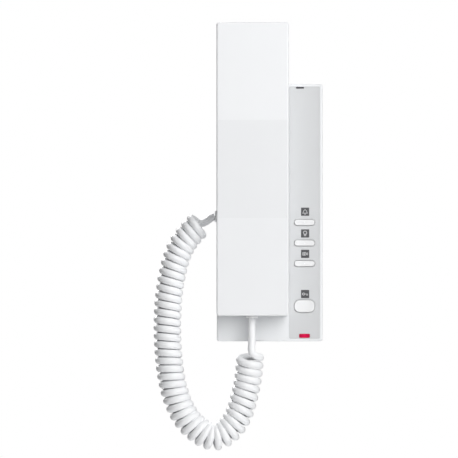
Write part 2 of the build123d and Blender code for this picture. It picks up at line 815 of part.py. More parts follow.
def curl_points():
    """Points of the helix. Its pitch grows with the bend, so the curls keep their gap inside it."""
    axis = Spline([Vector(*p) for p in cord_axis_points])
    turn_span = (wire_diameter + curl_gap) / axis.length
    places = [0.0]
    while places[-1] < 1:
        here = places[-1]
        before, after = max(here - turn_span, 0), min(here + turn_span, 1)
        turn = math.radians(axis.tangent_at(before).get_angle(axis.tangent_at(after)))
        bend = turn / ((after - before) * axis.length)
        places.append(here + turn_span / curl_steps / (1 - curl_radius * bend))
    turns = (len(places) - 1) // curl_steps
    stretch = 1 / places[turns * curl_steps]
    side = Vector(1, 0, 0)
    points = []
    for i in range(turns * curl_steps + 1):
        place = min(places[i] * stretch, 1)
        along = axis.tangent_at(place)
        side = (side - along * side.dot(along)).normalized()
        front = along.cross(side)
        angle = 2 * math.pi * i / curl_steps
        points.append(axis.position_at(place)
                      + (side * math.cos(angle) - front * math.sin(angle)) * curl_radius)
    print(f"curls: {turns}")
    return points


def cord_curls():
    """The curls as one tube: left-handed, with a straight end one diameter long at each side."""
    points = curl_points()
    stations = [(points[i], heading(points, i)) for i in range(0, len(points), curl_steps // 2)]
    down = Vector(0, 0, -1)
    first = Vector(*curls_start)
    leave = Vector(*curls_end_direction).normalized()
    last = Vector(*curls_end)
    edges = [Line(first - down * wire_diameter, first).edge()]
    edges += biarc_path([(first, down)] + stations + [(last, leave)])
    edges.append(Line(last, last + leave * wire_diameter).edge())
    radii = [edge.radius for edge in edges[1:-1]]
    print(f"curls: least bend radius {min(radii):.2f}, wire {wire_diameter}")
    print(f"curls: least gap to itself {self_gap(Wire(edges)):.3f}")
    return swept_tube(edges, wire_diameter, wire_sides)


def self_gap(path):
    """The least gap between stretches of the tube that aren't next to each other."""
    points = [path.position_at(i / gap_samples) for i in range(gap_samples + 1)]
    step = path.length / gap_samples
    skip = int(2 * math.pi * curl_radius / 3 / step)
    window = int(3 * 2 * math.pi * curl_radius / step)
    places = [(p.X, p.Y, p.Z) for p in points]
    least = base_height
    for i, here in enumerate(places):
        for there in places[i + skip:i + window:2]:
            least = min(least, math.dist(here, there))
    return least - wire_diameter


def cord_handset_tail():
    end = Vector(*curls_start) + Vector(0, 0, wire_diameter)
    return swept_tube([Line(handset_mouth(), end).edge()], wire_diameter, 0)


def cord_base_tail():
    """From the last curl's straight end up to the bush: two straight runs and one tangent arc."""
    leave = Vector(*curls_end_direction).normalized()
    start = Vector(*curls_end) + leave * wire_diameter
    mouth = base_mouth()
    corner = start + leave * ((mouth.Z - start.Z) / leave.Z)
    run = min((corner - start).length, (mouth - corner).length)
    turn = math.radians(leave.get_angle(mouth - corner))
    radius = 0.45 * run / math.tan(turn / 2)
    print(f"base tail: runs {(corner - start).length:.2f} and {(mouth - corner).length:.2f}, "
          f"radius {radius:.2f}")
    path = FilletPolyline(start, corner, mouth, radius=radius)
    return swept_tube(path.edges(), wire_diameter, 0)


def pieces():
    made = {
        "wall_bracket": wall_bracket(),
        "base_rear_cover": base_rear_cover(),
        "base_front_shell": base_front_shell(),
        "key_strip": key_strip(),
        "rubber_keypad": rubber_keypad(),
        "main_board": main_board(),
        "board_components": board_components(),
        "indicator_lens": indicator_lens(),
        "status_led": status_led(),
        "terminal_block": terminal_block(),
        "call_speaker": call_speaker(),
        "speaker_gasket": speaker_gasket(),
        "hook_plunger": hook_plunger(),
        "hook_spring": hook_spring(),
        "hook_switch": hook_switch(),
        "base_screws": base_screws(),
        "base_cord_bush": bush(base_mouth(), (-1, 0, 0), base_wall),
        "handset_front_shell": handset_front_shell(),
        "handset_rear_shell": handset_rear_shell(),
        "receiver_capsule": receiver_capsule(),
        "receiver_gasket": receiver_gasket(),
        "microphone_boot": microphone_boot(),
        "microphone_capsule": microphone_capsule(),
        "handset_weight": handset_weight(),
        "handset_screws": handset_screws(),
        "handset_cord_bush": bush(handset_mouth(), (0, 0, -1), handset_wall),
        "cord_handset_tail": cord_handset_tail(),
        "cord_curls": cord_curls(),
        "cord_base_tail": cord_base_tail(),
    }
    for name, (height, corner, z) in keys.items():
        made[name] = key(height, corner, z)
    return made


os.makedirs("parts", exist_ok=True)
for name, shape in pieces().items():
    export_step(shape, f"parts/{name}.step")
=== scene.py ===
import json
import math

import bpy
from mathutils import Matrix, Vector


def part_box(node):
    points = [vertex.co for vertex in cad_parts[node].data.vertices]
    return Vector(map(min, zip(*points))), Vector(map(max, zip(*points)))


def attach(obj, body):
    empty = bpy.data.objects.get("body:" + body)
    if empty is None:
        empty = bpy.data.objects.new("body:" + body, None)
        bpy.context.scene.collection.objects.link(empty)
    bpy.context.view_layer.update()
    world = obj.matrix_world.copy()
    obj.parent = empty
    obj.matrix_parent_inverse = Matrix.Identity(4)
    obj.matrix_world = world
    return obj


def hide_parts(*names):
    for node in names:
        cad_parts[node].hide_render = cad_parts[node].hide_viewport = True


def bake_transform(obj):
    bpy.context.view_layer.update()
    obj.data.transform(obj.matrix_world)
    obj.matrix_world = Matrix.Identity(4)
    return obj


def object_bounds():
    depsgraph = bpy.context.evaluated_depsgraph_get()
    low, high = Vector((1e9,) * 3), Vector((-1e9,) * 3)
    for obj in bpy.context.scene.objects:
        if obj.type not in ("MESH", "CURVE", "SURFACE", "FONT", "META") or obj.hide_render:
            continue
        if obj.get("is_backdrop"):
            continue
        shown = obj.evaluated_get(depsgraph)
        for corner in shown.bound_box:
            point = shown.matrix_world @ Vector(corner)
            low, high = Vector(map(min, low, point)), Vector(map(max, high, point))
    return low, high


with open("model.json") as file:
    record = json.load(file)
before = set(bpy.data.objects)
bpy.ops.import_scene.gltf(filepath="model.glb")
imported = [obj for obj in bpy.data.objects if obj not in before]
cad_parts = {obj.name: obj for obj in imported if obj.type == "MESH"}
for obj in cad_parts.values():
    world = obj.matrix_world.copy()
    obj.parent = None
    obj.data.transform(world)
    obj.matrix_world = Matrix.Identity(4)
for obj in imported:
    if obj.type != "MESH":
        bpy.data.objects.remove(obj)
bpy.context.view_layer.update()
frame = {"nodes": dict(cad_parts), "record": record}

bl_info = {
    "name": "Wall intercom with curly cord",
    "version": (1, 0, 0),
    "blender": (4, 5, 0),
    "location": "3D View > Sidebar > Intercom",
    "description": "Finishes, cord, key tiles and studio of a wall intercom with a handset",
    "category": "Object",
}

MM = 0.001

# Axis of the curls from the handset's side to the base's, and the runs without curls at its ends:
# below the handset, and from the last curl into the base's bush. Millimetres.
CURL_AXIS = [
    (-13.6, -29.0, -100.2), (-14.8, -26.4, -115.0), (-17.6, -25.8, -129.0), (-21.8, -25.4, -142.5),
    (-28.6, -25.0, -152.6), (-38.6, -24.4, -158.2), (-49.6, -23.8, -153.0), (-58.6, -23.2, -144.0),
    (-64.8, -22.7, -132.0), (-69.2, -22.2, -115.5), (-71.6, -21.7, -92.0), (-71.7, -21.3, -68.0),
    (-69.0, -21.0, -44.5), (-63.6, -21.0, -25.3), (-56.6, -21.0, -15.2), (-49.3, -21.0, -7.9),
]
HANDSET_RUN = [(-12.5, -33.0, -92.5), (-13.2, -35.0, -98.4)]
BASE_RUN = [(-48.6, -14.2, -7.9), (-44.2, -14.0, -6.4), (-40.8, -14.0, -3.4)]

# Keys from the top down, and the gap between each and the pictogram tile above it, in millimetres
TILE_GAPS = {"call_button_1": 2.65, "call_button_2": 1.85, "call_button_3": 1.95, "unlock_button": 1.35}
CALL_KEYS = ("call_button_1", "call_button_2", "call_button_3")

# The notch at the strip's top end: left of the strip's middle, width, and height. Millimetres.
NOTCH_LEFT = 3.2
NOTCH_SIZE = (5.6, 1.3)

# Pictograms, drawn in shares of half a tile: strokes from point to point, and rings with a radius
PICTOGRAM_SHARES = {
    "call_button_1": {
        "name": "bell",
        "strokes": [((-0.5, -0.36), (-0.36, 0.2)), ((-0.36, 0.2), (0.0, 0.56)), ((0.0, 0.56), (0.36, 0.2)),
                    ((0.36, 0.2), (0.5, -0.36)), ((-0.6, -0.36), (0.6, -0.36)), ((-0.1, -0.6), (0.1, -0.6))],
        "rings": [],
    },
    "call_button_2": {
        "name": "lamp",
        "strokes": [((-0.22, -0.3), (0.22, -0.3)), ((-0.18, -0.56), (0.18, -0.56))],
        "rings": [((0.0, 0.18), 0.4)],
    },
    "call_button_3": {
        "name": "camera",
        "strokes": [((-0.62, 0.34), (0.2, 0.34)), ((-0.62, -0.34), (0.2, -0.34)),
                    ((-0.62, -0.34), (-0.62, 0.34)), ((0.2, -0.34), (0.2, 0.34)),
                    ((0.2, 0.0), (0.62, 0.3)), ((0.2, 0.0), (0.62, -0.3)), ((0.62, -0.3), (0.62, 0.3))],
        "rings": [((-0.21, 0.0), 0.16)],
    },
    "unlock_button": {
        "name": "key",
        "strokes": [((-0.12, 0.0), (0.64, 0.0)), ((0.4, 0.0), (0.4, -0.28)), ((0.62, 0.0), (0.62, -0.28))],
        "rings": [((-0.38, 0.0), 0.26)],
    },
}

# Steps between two control points of the axis of the curls, and of the cord itself
AXIS_RESOLUTION = 16
CORD_RESOLUTION = 2

# The axis's direction is taken this share of a curl's pitch before and after a place
DIRECTION_REACH = 0.25

# How finely small pieces are made
EDGE_SEGMENTS = 2
CORNER_SEGMENTS = 4
RING_SEGMENTS = 28
RING_SIDES = 8
DOT_SEGMENTS = 20
DOT_RINGS = 10
SMOOTH_ANGLE = math.radians(35)

# Edge rounding of a pictogram's line as a share of its relief, and a dot's depth as one of its radius
LINE_EDGE_SHARE = 0.9
DOT_SUNK_SHARE = 0.25

# A key's cap reaches at least this far back, and its flange lies behind that
CAP_DEPTH = 2 * MM

# The middle facet, which gets painted shade, lies within this depth of the shell's front, and its normal
# points forward by this much
FACET_DEPTH = 0.05 * MM
FACET_FORWARD = 0.9

# Flow marks in plastic: their size, and their tone beside the plain one
FLOW_SIZE = 40 * MM
FLOW_TONE = 0.985

# Light travels equally far in a soft material in all three colours
EVEN_RADIUS = (1.0, 1.0, 1.0)

# Drawing lines of the cord: how many fit round it, and how many to the metre along it
LINES_ROUND = 14.0
LINES_ALONG = 0.02 / MM

# Sockets of a mix node that mixes colours
MIX_FIRST = 6
MIX_SECOND = 7
MIX_RESULT = 2

# Place and side of each soft light, in metres. Its setting has the same name.
LIGHTS = {
    "key_light": ((0.65, -1.13, 0.75), 1.5),
    "left_light": ((-1.2, -0.7, 0.5), 0.7),
    "front_light": ((0.0, -1.47, -0.31), 0.35),
    "low_light": ((0.05, -0.3, -0.62), 0.3),
    "back_light": ((-0.5, 1.3, 0.8), 1.0),
}

# The floor: its side in metres, the squares along a side, its tint, the brightness of its even look,
# and the share of that look in what the camera sees
FLOOR_SIDE = 4.0
FLOOR_SQUARES = 8
FLOOR_TINT = (0.8, 0.8, 0.8)
FLOOR_GLOW = 0.9
FLOOR_EVENNESS = 0.85

WHITE = (1.0, 1.0, 1.0)

# Width of the camera's sensor, in its own millimetres
SENSOR_WIDTH = 36.0


# Sizes and colours that a user would change

def length(name, description, value):
    return bpy.props.FloatProperty(name=name, description=description, default=value * MM, min=0.0,
                                   unit="LENGTH", precision=5)


def coordinate(name, description, value):
    return bpy.props.FloatProperty(name=name, description=description, default=value * MM, unit="LENGTH",
                                   precision=5)


def colour(name, description, value):
    return bpy.props.FloatVectorProperty(name=name, description=description, default=value, size=3,
                                         min=0.0, max=1.0, subtype="COLOR")


def amount(name, description, value, highest=1.0):
    return bpy.props.FloatProperty(name=name, description=description, default=value, min=0.0,
                                   max=highest)


def watts(name, description, value):
    return amount(name, description, value, highest=500.0)


def count(name, description, value):
    return bpy.props.IntProperty(name=name, description=description, default=value, min=3)


class CordSettings(bpy.types.PropertyGroup):
    diameter: length("Diameter", "Thickness of the cord", 5.15)
    curl_radius: length("Curl radius", "From the axis of the curls to the middle of the cord", 7.2)
    curl_gap: length("Curl gap", "Room between curls where the cord hangs straight", 0.4)
    crowding: amount("Crowding", "How far the curls close up in a bend", 0.3)
    first_share: amount("First share", "Share of a turn before the first whole one, from the front", 0.08)
    last_share: amount("Last share", "Share of a turn after the last whole one, to the back", 0.2)
    steps: count("Steps", "Control points in one curl", 24)
    sides: count("Sides", "Sides of the tube", 16)


class TileSettings(bpy.types.PropertyGroup):
    size: length("Size", "Side of a pictogram tile", 5.7)
    corner: length("Corner", "Rounding of a tile's corners", 0.25)
    proud: length("Proud", "How far a tile stands out of the key strip", 0.08)
    shift: length("Shift", "Tiles stand this far right of the strip's middle", 0.4)
    stroke: length("Stroke", "Width of a pictogram's lines", 0.52)
    relief: length("Relief", "Height of a pictogram's lines", 0.05)
    dot_radius: length("Dot radius", "Radius of the touch dot on a call key", 0.45)
    dot_height: length("Dot height", "Height of the touch dot on a call key", 0.16)


# The latch in the strip's notch, which is dark as painted shade of the hollow behind the notch
class LatchSettings(bpy.types.PropertyGroup):
    clearance: length("Clearance", "Room round the latch in the notch, and its edge rounding", 0.12)
    recess: length("Recess", "How far the latch lies behind the strip's front", 0.35)
    lip: length("Lip", "Thickness of the lip at the latch's front", 0.3)


class FinishSettings(bpy.types.PropertyGroup):
    shell: colour("Shell", "White plastic of the base", (0.86, 0.875, 0.89))
    handset: colour("Handset", "White plastic of the handset", (0.89, 0.9, 0.915))
    # Painted shade: the handset's middle facet is painted darker than the other two, for the tone steps that
    # light gives between the facets
    facet_painted_shade: amount("Facet tone", "Tone of the handset's middle facet beside the other two", 0.965)
    strip: colour("Strip", "Light grey of the key strip", (0.65, 0.66, 0.67))
    keys: colour("Keys", "White of the keys", (0.85, 0.855, 0.86))
    cord: colour("Cord", "White of the cord's bushes and of its packed nodes", (0.95, 0.955, 0.965))
    lens: colour("Lens", "Red of the indicator", (0.5, 0.004, 0.05))
    tile: colour("Tile", "Dark grey of the pictogram tiles", (0.095, 0.095, 0.1))
    line: colour("Line", "Light grey of the pictograms' lines", (0.54, 0.54, 0.55))


class StageSettings(bpy.types.PropertyGroup):
    view_width: length("View width", "Width that the picture covers at the object", 320.6)
    view_x: coordinate("View X", "Middle of the picture, left to right", -28.5)
    view_z: coordinate("View Z", "Middle of the picture, up and down", -11.4)
    distance: length("Distance", "From the camera to the object", 6000.0)
    key_light: watts("Key light", "Watts of the large light above on the right", 26.6)
    left_light: watts("Left light", "Watts of the light on the left", 2.4)
    front_light: watts("Front light", "Watts of the small light in front, below the camera", 0.35)
    low_light: watts("Low light", "Watts of the small light under the object", 0.8)
    back_light: watts("Back light", "Watts of the light behind", 24.0)
    surround: amount("Surround", "Brightness of the white surroundings as the object receives it", 0.02,
                     highest=5.0)
    floor_drop: length("Floor drop", "From the cord's lowest point down to the floor", 550.0)


def settings(group):
    return getattr(bpy.context.scene, group)


# Materials

class Value:
    """One value inside a node tree. Arithmetic with it adds the nodes that work it out."""

    def __init__(self, nodes, socket):
        self.nodes = nodes
        self.socket = socket

    def __add__(self, other):
        return self.nodes.maths("ADD", self, other)

    __radd__ = __add__

    def __sub__(self, other):
        return self.nodes.maths("SUBTRACT", self, other)

    def __rsub__(self, other):
        return self.nodes.maths("SUBTRACT", other, self)

    def __mul__(self, other):
        return self.nodes.maths("MULTIPLY", self, other)

    __rmul__ = __mul__

    def __gt__(self, other):
        return self.nodes.maths("GREATER_THAN", self, other)

    def __lt__(self, other):
        return self.nodes.maths("LESS_THAN", self, other)

    def __neg__(self):
        return self.nodes.maths("MULTIPLY", self, -1.0)

    def __abs__(self):
        return self.nodes.maths("ABSOLUTE", self)


class Nodes:
    """A node tree that is being built: one method adds its nodes, and they end in one output."""

    def __init__(self, tree):
        self.tree = tree
        self.tree.nodes.clear()

    def node(self, kind, values, output=0, **choices):
        """Adds a node with values for its inputs, and gives one of its outputs."""
        made = self.tree.nodes.new(kind)
        for key, choice in choices.items():
            setattr(made, key, choice)
        for key, value in values.items():
            if isinstance(value, Value):
                self.tree.links.new(value.socket, made.inputs[key])
            else:
                made.inputs[key].default_value = value
        return Value(self, made.outputs[output])

    def maths(self, operation, first, second=0.0):
        return self.node("ShaderNodeMath", {0: first, 1: second}, operation=operation)

    def seen_directly(self):
        """1 for what the camera sees by itself, and 0 for light on its way between surfaces."""
        return self.node("ShaderNodeLightPath", {}, "Is Camera Ray")

    def mix_shaders(self, share, first, second):
        return self.node("ShaderNodeMixShader", {0: share, 1: first, 2: second})

    def end(self, shader, kind):
        output = self.tree.nodes.new(kind)
        self.tree.links.new(shader.socket, output.inputs["Surface"])


class Finish(Nodes):
    """A material that is being built on the object's own coordinates."""

    def __init__(self, name):
        self.material = bpy.data.materials.new(name)
        self.material.use_nodes = True
        super().__init__(self.material.node_tree)
        self.place = self.coordinates("Object")

    def coordinates(self, kind):
        return self.node("ShaderNodeTexCoord", {}, kind)

    def along(self, vector, axis):
        """A vector's part along one axis."""
        return self.node("ShaderNodeSeparateXYZ", {"Vector": vector}, axis)

    def noise(self, cell, detail=2.0, place=None):
        """Cloudy values from 0 to 1 whose blotches are about `cell` metres wide."""
        return self.node("ShaderNodeTexNoise", {"Vector": place or self.place, "Scale": 1 / cell,
                                                "Detail": detail})

    def cells(self, cell):
        """Flat patches about `cell` metres wide, each with its own value."""
        patches = self.node("ShaderNodeTexVoronoi", {"Vector": self.place, "Scale": 1 / cell}, "Color")
        return self.node("ShaderNodeSeparateColor", {"Color": patches})

    def mix(self, share, first, second):
        return self.node("ShaderNodeMix", {"Factor": share, MIX_FIRST: opaque(first),
                                           MIX_SECOND: opaque(second)}, MIX_RESULT, data_type="RGBA")

    def bump(self, height, depth):
        return self.node("ShaderNodeBump", {"Height": height, "Distance": depth})

    def surface(self, **values):
        """Ends the material in one shader, whose inputs are named with underscores."""
        inputs = {key.replace("_", " "): opaque(value) if key.endswith("Color") else value
                  for key, value in values.items()}
        return self.finished(self.node("ShaderNodeBsdfPrincipled", inputs))

    def finished(self, shader):
        self.end(shader, "ShaderNodeOutputMaterial")
        return self.material


def opaque(tint):
    """A colour of three numbers as one of four. A worked-out colour stays as it is."""
    return tint if isinstance(tint, Value) else (*tint, 1.0)


def darker(tint, share):
    return tuple(channel * share for channel in tint)


def spread(value, width):
    """A value from 0 to 1 as a change to both sides of nothing, `width` wide in all."""
    return width * (value - 0.5)


def moulded_plastic(name, tint, roughness, grain=0.35 * MM, grain_depth=0.006 * MM, shell=None,
                    middle_painted_shade=1.0):
    """Plastic from a finely etched mould: a fine grain, and flow marks that barely show.

    Where a shell is named, the flat middle facet of its front is painted darker, as painted shade for the
    tone steps that light gives between the facets.
    """
    finish = Finish(name)
    flow = finish.noise(FLOW_SIZE, detail=1.0)
    fine = finish.noise(grain)
    plastic = finish.mix(flow, darker(tint, FLOW_TONE), tint)
    # Painted shade: the middle facet's tint is darker than that of the other two
    if shell:
        painted_shade = finish.mix(flow, darker(tint, FLOW_TONE * middle_painted_shade), darker(tint, middle_painted_shade))
        plastic = finish.mix(shaded_middle_facet(finish, shell), plastic, painted_shade)
    return finish.surface(
        Base_Color=plastic,
        Roughness=roughness + spread(flow, 0.08) + spread(fine, 0.05),
        Normal=finish.bump(fine, grain_depth),
        IOR=1.5,
    )


def shaded_middle_facet(finish, shell):
    """1 on the facet of a shell that stands furthest forward, which gets painted shade, and 0 on the rest.
    """
    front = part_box(shell)[0].y
    heights = [vertex.co.z for vertex in frame["nodes"][shell].data.vertices
               if vertex.co.y < front + FACET_DEPTH]
    height = finish.along(finish.place, "Z")
    forward = -finish.along(finish.coordinates("Normal"), "Y")
    return (height > min(heights)) * (height < max(heights)) * (forward > FACET_FORWARD)


def soft_rubber(name, tint, roughness, softness=0.0):
    """Rubber or foam with a dull, slightly dusty skin. A soft one lets some light through."""
    finish = Finish(name)
    fine = finish.noise(0.25 * MM, detail=3.0)
    dust = finish.noise(6 * MM, detail=3.0)
    return finish.surface(
        Base_Color=finish.mix(0.5 * dust, tint, darker(tint, 0.8)),
        Roughness=roughness + spread(dust, 0.2),
        Normal=finish.bump(fine, 0.02 * MM),
        Subsurface_Weight=softness,
        Subsurface_Radius=EVEN_RADIUS,
        Subsurface_Scale=3 * MM,
    )


def cord_plastic(name, tint):
    """Soft shiny jacket of the cord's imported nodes, with faint drawing lines along it."""
    finish = Finish(name)
    stretched = finish.node("ShaderNodeMapping", {"Vector": finish.coordinates("UV"),
                                                  "Scale": (LINES_ROUND, LINES_ALONG, 1.0)})
    lines = finish.noise(1.0, place=stretched)
    touched = finish.noise(18 * MM)
    return finish.surface(
        Base_Color=finish.mix(touched, darker(tint, 0.975), tint),
        Roughness=0.34 + spread(touched, 0.12) + spread(lines, 0.05),
        Normal=finish.bump(lines, 0.01 * MM),
        IOR=1.48,
        Subsurface_Weight=1.0,
        Subsurface_Radius=EVEN_RADIUS,
        Subsurface_Scale=4.5 * MM,
    )


def plated_steel(name, tint, spangle, roughness):
    """Zinc or nickel plate: patches of the plating differ in shine, over fine rolling marks."""
    finish = Finish(name)
    patch = finish.cells(spangle)
    marks = finish.noise(0.5 * MM, detail=3.0)
    return finish.surface(
        Base_Color=finish.mix(0.6 * patch, tint, darker(tint, 0.84)),
        Metallic=1.0,
        Roughness=roughness + spread(patch, 0.08) + spread(marks, 0.1),
        Normal=finish.bump(marks, 0.01 * MM),
    )


def board_laminate(name, tint):
    """Solder mask over a weave of copper tracks."""
    finish = Finish(name)
    track = finish.cells(2.4 * MM)
    weave = finish.noise(0.6 * MM)
    return finish.surface(
        Base_Color=finish.mix(0.7 * track, tint, darker(tint, 0.6)),
        Roughness=0.38 + spread(weave, 0.1),
        Normal=finish.bump(track, 0.03 * MM),
    )


def lit_lens(name, tint, node):
    """A red window lit from behind: bright in the middle, darker towards its ends."""
    finish = Finish(name)
    low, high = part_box(node)
    middle = (low.x + high.x) / 2
    half = (high.x - low.x) / 2
    off_middle = abs(finish.along(finish.place, "X") - middle) * (1 / half)
    cloud = finish.noise(0.8 * MM)
    shade = 0.55 * off_middle + 0.35 * (cloud - 0.4)
    return finish.surface(
        Base_Color=finish.mix(shade, tint, darker(tint, 0.45)),
        Roughness=0.34 + 0.08 * cloud,
        Emission_Color=finish.mix(shade, (0.85, 0.004, 0.09), (0.12, 0.0, 0.012)),
        Emission_Strength=0.32,
        Specular_IOR_Level=0.15,
    )


def finishes():
    """Every material of the object by its slot in the record, in the order of what shows most."""
    look = settings("intercom_finish")
    return {
        # The handset's middle facet gets painted shade
        "white_handset": moulded_plastic("white_handset", look.handset, roughness=0.36,
                                         shell="handset_front_shell", middle_painted_shade=look.facet_painted_shade),
        "white_shell": moulded_plastic("white_shell", look.shell, roughness=0.4),
        "white_trim": moulded_plastic("white_trim", look.shell, roughness=0.42),
        "white_keys": moulded_plastic("white_keys", look.keys, roughness=0.3, grain=0.5 * MM,
                                      grain_depth=0.003 * MM),
        "grey_strip": moulded_plastic("grey_strip", look.strip, roughness=0.46, grain=0.3 * MM,
                                      grain_depth=0.008 * MM),
        "red_lens": lit_lens("red_lens", look.lens, node="indicator_lens"),
        "cord_jacket": cord_plastic("cord_jacket", look.cord),
        "bush_rubber": soft_rubber("bush_rubber", look.cord, roughness=0.6, softness=0.9),
        "zinc_steel": plated_steel("zinc_steel", (0.62, 0.63, 0.65), spangle=7 * MM, roughness=0.38),
        "screw_steel": plated_steel("screw_steel", (0.6, 0.61, 0.63), spangle=1.5 * MM, roughness=0.3),
        "spring_steel": plated_steel("spring_steel", (0.55, 0.55, 0.57), spangle=2 * MM, roughness=0.28),
        "weight_steel": plated_steel("weight_steel", (0.42, 0.43, 0.45), spangle=9 * MM, roughness=0.45),
        "capsule_metal": plated_steel("capsule_metal", (0.7, 0.7, 0.72), spangle=4 * MM, roughness=0.3),
        "speaker_steel": plated_steel("speaker_steel", (0.12, 0.12, 0.13), spangle=6 * MM, roughness=0.5),
        "circuit_board": board_laminate("circuit_board", (0.02, 0.14, 0.05)),
        "black_parts": moulded_plastic("black_parts", (0.012, 0.012, 0.014), roughness=0.5),
        "green_terminal": moulded_plastic("green_terminal", (0.02, 0.2, 0.07), roughness=0.48),
        "led_body": moulded_plastic("led_body", (0.75, 0.7, 0.5), roughness=0.25),
        "keypad_rubber": soft_rubber("keypad_rubber", (0.2, 0.21, 0.22), roughness=0.7),
        "foam_rubber": soft_rubber("foam_rubber", (0.02, 0.02, 0.022), roughness=0.9),
        "pictogram_tile": moulded_plastic("pictogram_tile", look.tile, roughness=0.32, grain=0.25 * MM,
                                          grain_depth=0.002 * MM),
        "pictogram_line": moulded_plastic("pictogram_line", look.line, roughness=0.5, grain=0.25 * MM,
                                          grain_depth=0.002 * MM),
    }


def material_named(name):
    """The first material of a name, for a new piece.

    The pack brings a plain material for each of its slots, and that one is found before the finish
    made here. So the cord, the touch dots and the latch are evenly coloured, and only the tiles and
    the pictograms get a finish of this script.
    """
    if name not in bpy.data.materials:
        raise RuntimeError(f"the finish {name} isn't made yet: run the finishes first")
    return bpy.data.materials[name]


# Mesh tools

def deselect():
    bpy.ops.object.select_all(action="DESELECT")


def select_only(piece):
    deselect()
    piece.select_set(True)
    bpy.context.view_layer.objects.active = piece


def settle(piece):
    """Puts a piece's place, turn and size into its mesh, so that its object lies at the origin."""
    select_only(piece)
    bpy.ops.object.transform_apply(location=True, rotation=True, scale=True)


def rename(piece, name):
    piece.name = name
    piece.data.name = name


def round_off(piece, width):
    """Rounds every edge of a piece with a bevel that is then applied."""
    select_only(piece)
    bevel = piece.modifiers.new("edges", "BEVEL")
    bevel.width = width
    bevel.segments = EDGE_SEGMENTS
    bpy.ops.object.modifier_apply(modifier=bevel.name)


def round_corners(plate, radius):
    """Rounds the edges of a plate that run from front to back."""
    select_only(plate)
    bpy.ops.object.mode_set(mode="EDIT")
    bpy.ops.mesh.select_mode(type="EDGE")
    bpy.ops.mesh.select_all(action="DESELECT")
    bpy.ops.object.mode_set(mode="OBJECT")
    for edge in plate.data.edges:
        first, second = (plate.data.vertices[i].co for i in edge.vertices)
        edge.select = abs(first.y - second.y) > abs(first.x - second.x) + abs(first.z - second.z)
    bpy.ops.object.mode_set(mode="EDIT")
    bpy.ops.mesh.bevel(offset=radius, segments=CORNER_SEGMENTS, affect="EDGES")
    bpy.ops.object.mode_set(mode="OBJECT")


def flatten(piece, middle, share):
    """Brings a piece's depth from front to back down to a share of it, on both sides of a middle."""
    for vertex in piece.data.vertices:
        vertex.co.y = middle + (vertex.co.y - middle) * share


def join(pieces, name):
    deselect()
    for piece in pieces:
        piece.select_set(True)
    bpy.context.view_layer.objects.active = pieces[0]
    bpy.ops.object.join()
    joined = bpy.context.view_layer.objects.active
    rename(joined, name)
    return joined


def dress(piece, material_name, body):
    """Gives a piece its material, its smooth faces and the body that it moves with."""
    piece.data.materials.clear()
    piece.data.materials.append(material_named(material_name))
    select_only(piece)
    bpy.ops.object.shade_smooth_by_angle(angle=SMOOTH_ANGLE)
    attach(piece, body)
    deselect()


def block(centre, size, turn=0.0):
    """A block by its centre and its sizes, turned about the front-to-back axis."""
    deselect()
    bpy.ops.mesh.primitive_cube_add(size=1.0, location=centre, rotation=(0.0, turn, 0.0), scale=size)
    made = bpy.context.active_object
    settle(made)
    return made


def flat_ring(centre, radius, stroke, relief):
    """A ring that lies flat on a front face."""
    deselect()
    bpy.ops.mesh.primitive_torus_add(location=centre, rotation=(math.pi / 2, 0.0, 0.0), major_radius=radius,
                                     minor_radius=stroke / 2, major_segments=RING_SEGMENTS,
                                     minor_segments=RING_SIDES)
    made = bpy.context.active_object
    settle(made)
    flatten(made, centre.y, 2 * relief / stroke)
    return made


# Lines and tubes

def points_of(controls, resolution):
    """Closely spaced points of the smooth line that some control points pull into shape."""
    curve = bpy.data.curves.new("line", "CURVE")
    curve.dimensions = "3D"
    curve.resolution_u = resolution
    spline = curve.splines.new("NURBS")
    spline.points.add(len(controls) - 1)
    for point, control in zip(spline.points, controls):
        point.co = (*control, 1.0)
    spline.order_u = 3
    spline.use_endpoint_u = True
    line = bpy.data.objects.new("line", curve)
    bpy.context.scene.collection.objects.link(line)
    bpy.context.view_layer.update()
    mesh = bpy.data.meshes.new_from_object(line)
    points = [vertex.co.copy() for vertex in mesh.vertices]
    bpy.data.objects.remove(line)
    bpy.data.meshes.remove(mesh)
    bpy.data.curves.remove(curve)
    return points


class Line:
    """A line of close points that can be asked for its place and direction at a length."""

    def __init__(self, points):
        self.points = points
        self.lengths = [0.0]
        for here, there in zip(points, points[1:]):
            self.lengths.append(self.lengths[-1] + (there - here).length)
        self.length = self.lengths[-1]

    def at(self, along):
        along = min(max(along, 0.0), self.length)
        i = 1
        while self.lengths[i] < along and i < len(self.points) - 1:
            i += 1
        share = (along - self.lengths[i - 1]) / (self.lengths[i] - self.lengths[i - 1])
        return self.points[i - 1].lerp(self.points[i], share)

    def direction(self, along, reach):
        return (self.at(along + reach) - self.at(along - reach)).normalized()


def square_to(along, side):
    """The direction nearest to `side` that stands square to `along`."""
    return (side - along * side.dot(along)).normalized()


def turned_about(along, side, angle):
    """A direction square to `along`, turned about it by an angle."""
    return side * math.cos(angle) + along.cross(side) * math.sin(angle)


def curl_places(axis, cord, pitch):
    """Lengths along the axis at which the curls' control points stand, closer together in a bend."""
    reach = pitch * DIRECTION_REACH
    places = [0.0]
    while places[-1] < axis.length:
        here = places[-1]
        before = max(here - pitch, 0.0)
        after = min(here + pitch, axis.length)
        turn = axis.direction(before, reach).angle(axis.direction(after, reach))
        bend = turn / (after - before)
        places.append(here + pitch / cord.steps / (1 + cord.crowding * cord.curl_radius * bend))
    return places


